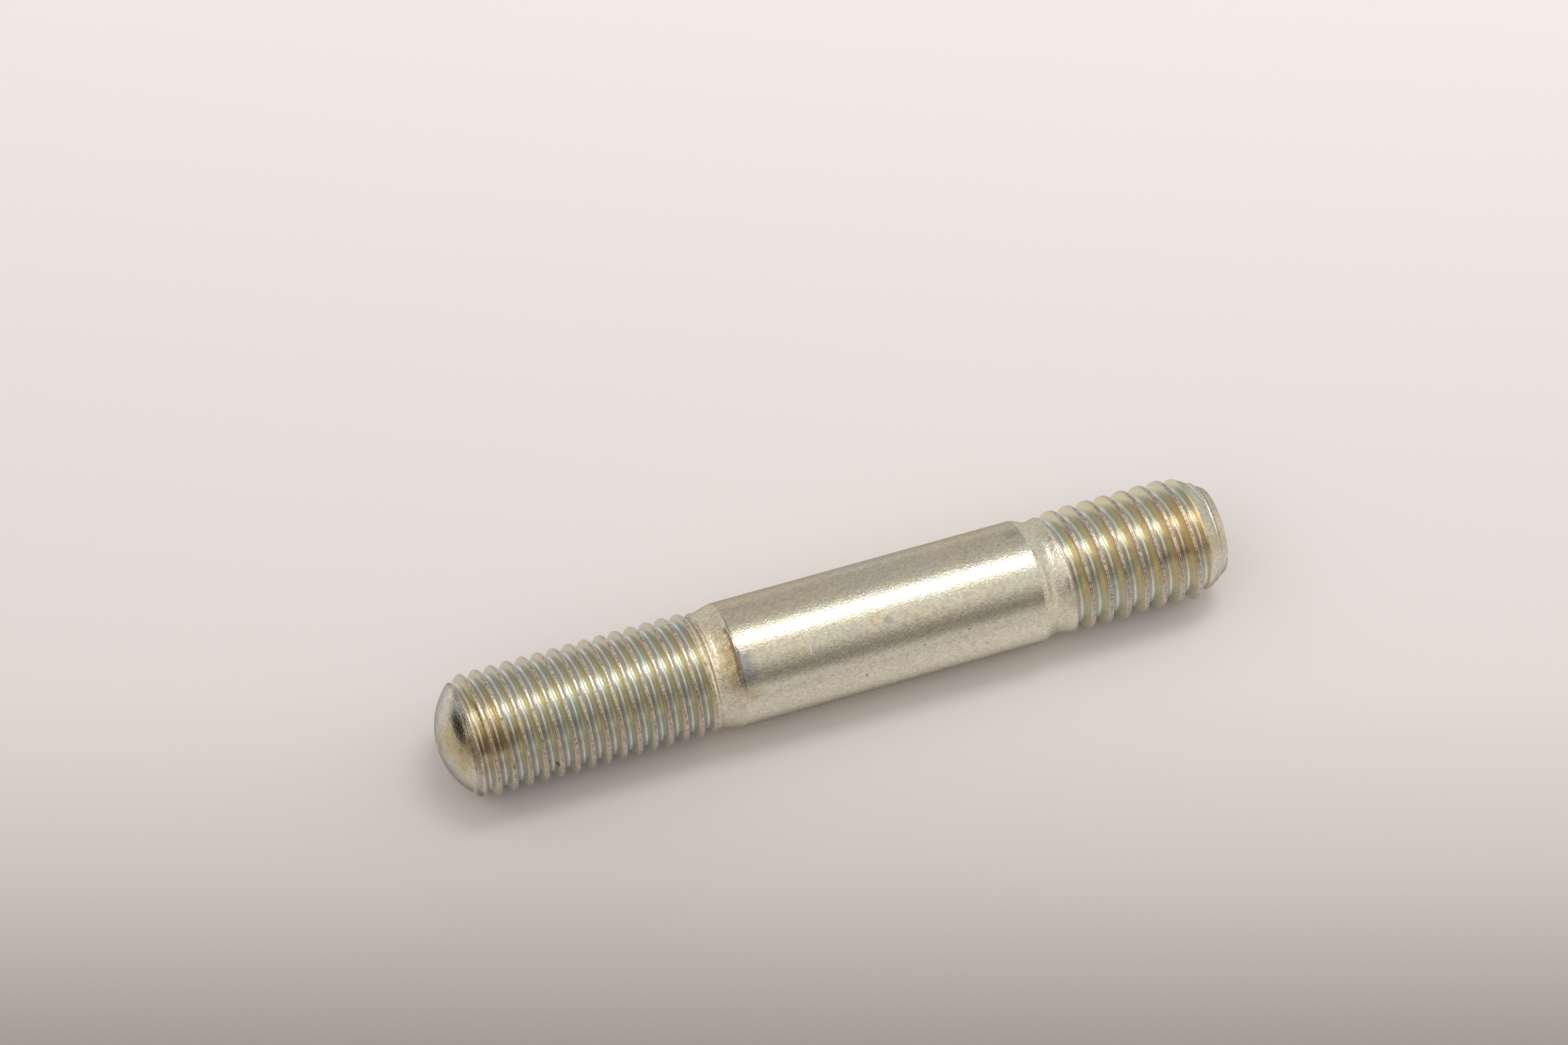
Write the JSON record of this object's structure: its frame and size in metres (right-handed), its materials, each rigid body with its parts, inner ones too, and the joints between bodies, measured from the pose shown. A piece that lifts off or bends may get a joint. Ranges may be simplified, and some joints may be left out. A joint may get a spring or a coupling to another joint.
{
  "type": "stud bolt",
  "caption": "Double-ended stud bolt with a coarse tap end, a plain shank and a domed fine nut end.",
  "frame": {"origin": "centre of the flat end face of the coarse tap end, on which the stud stands", "axes": "+Z along the stud's axis, from the tap end up to the domed nut end; +X is a chosen direction round the axis, and both grooves are placed round it"},
  "size_m": [0.0098, 0.0098, 0.0638],
  "materials": {
    "zinc_plate": "yellow-green iridescent zinc plate on rolled steel: satin grain on the shank and the dome, smoother and more golden thread flanks, rubbed pinkish crests"
  },
  "bodies": {
    "root": {"stud": "zinc_plate"}
  },
  "joints": []
}
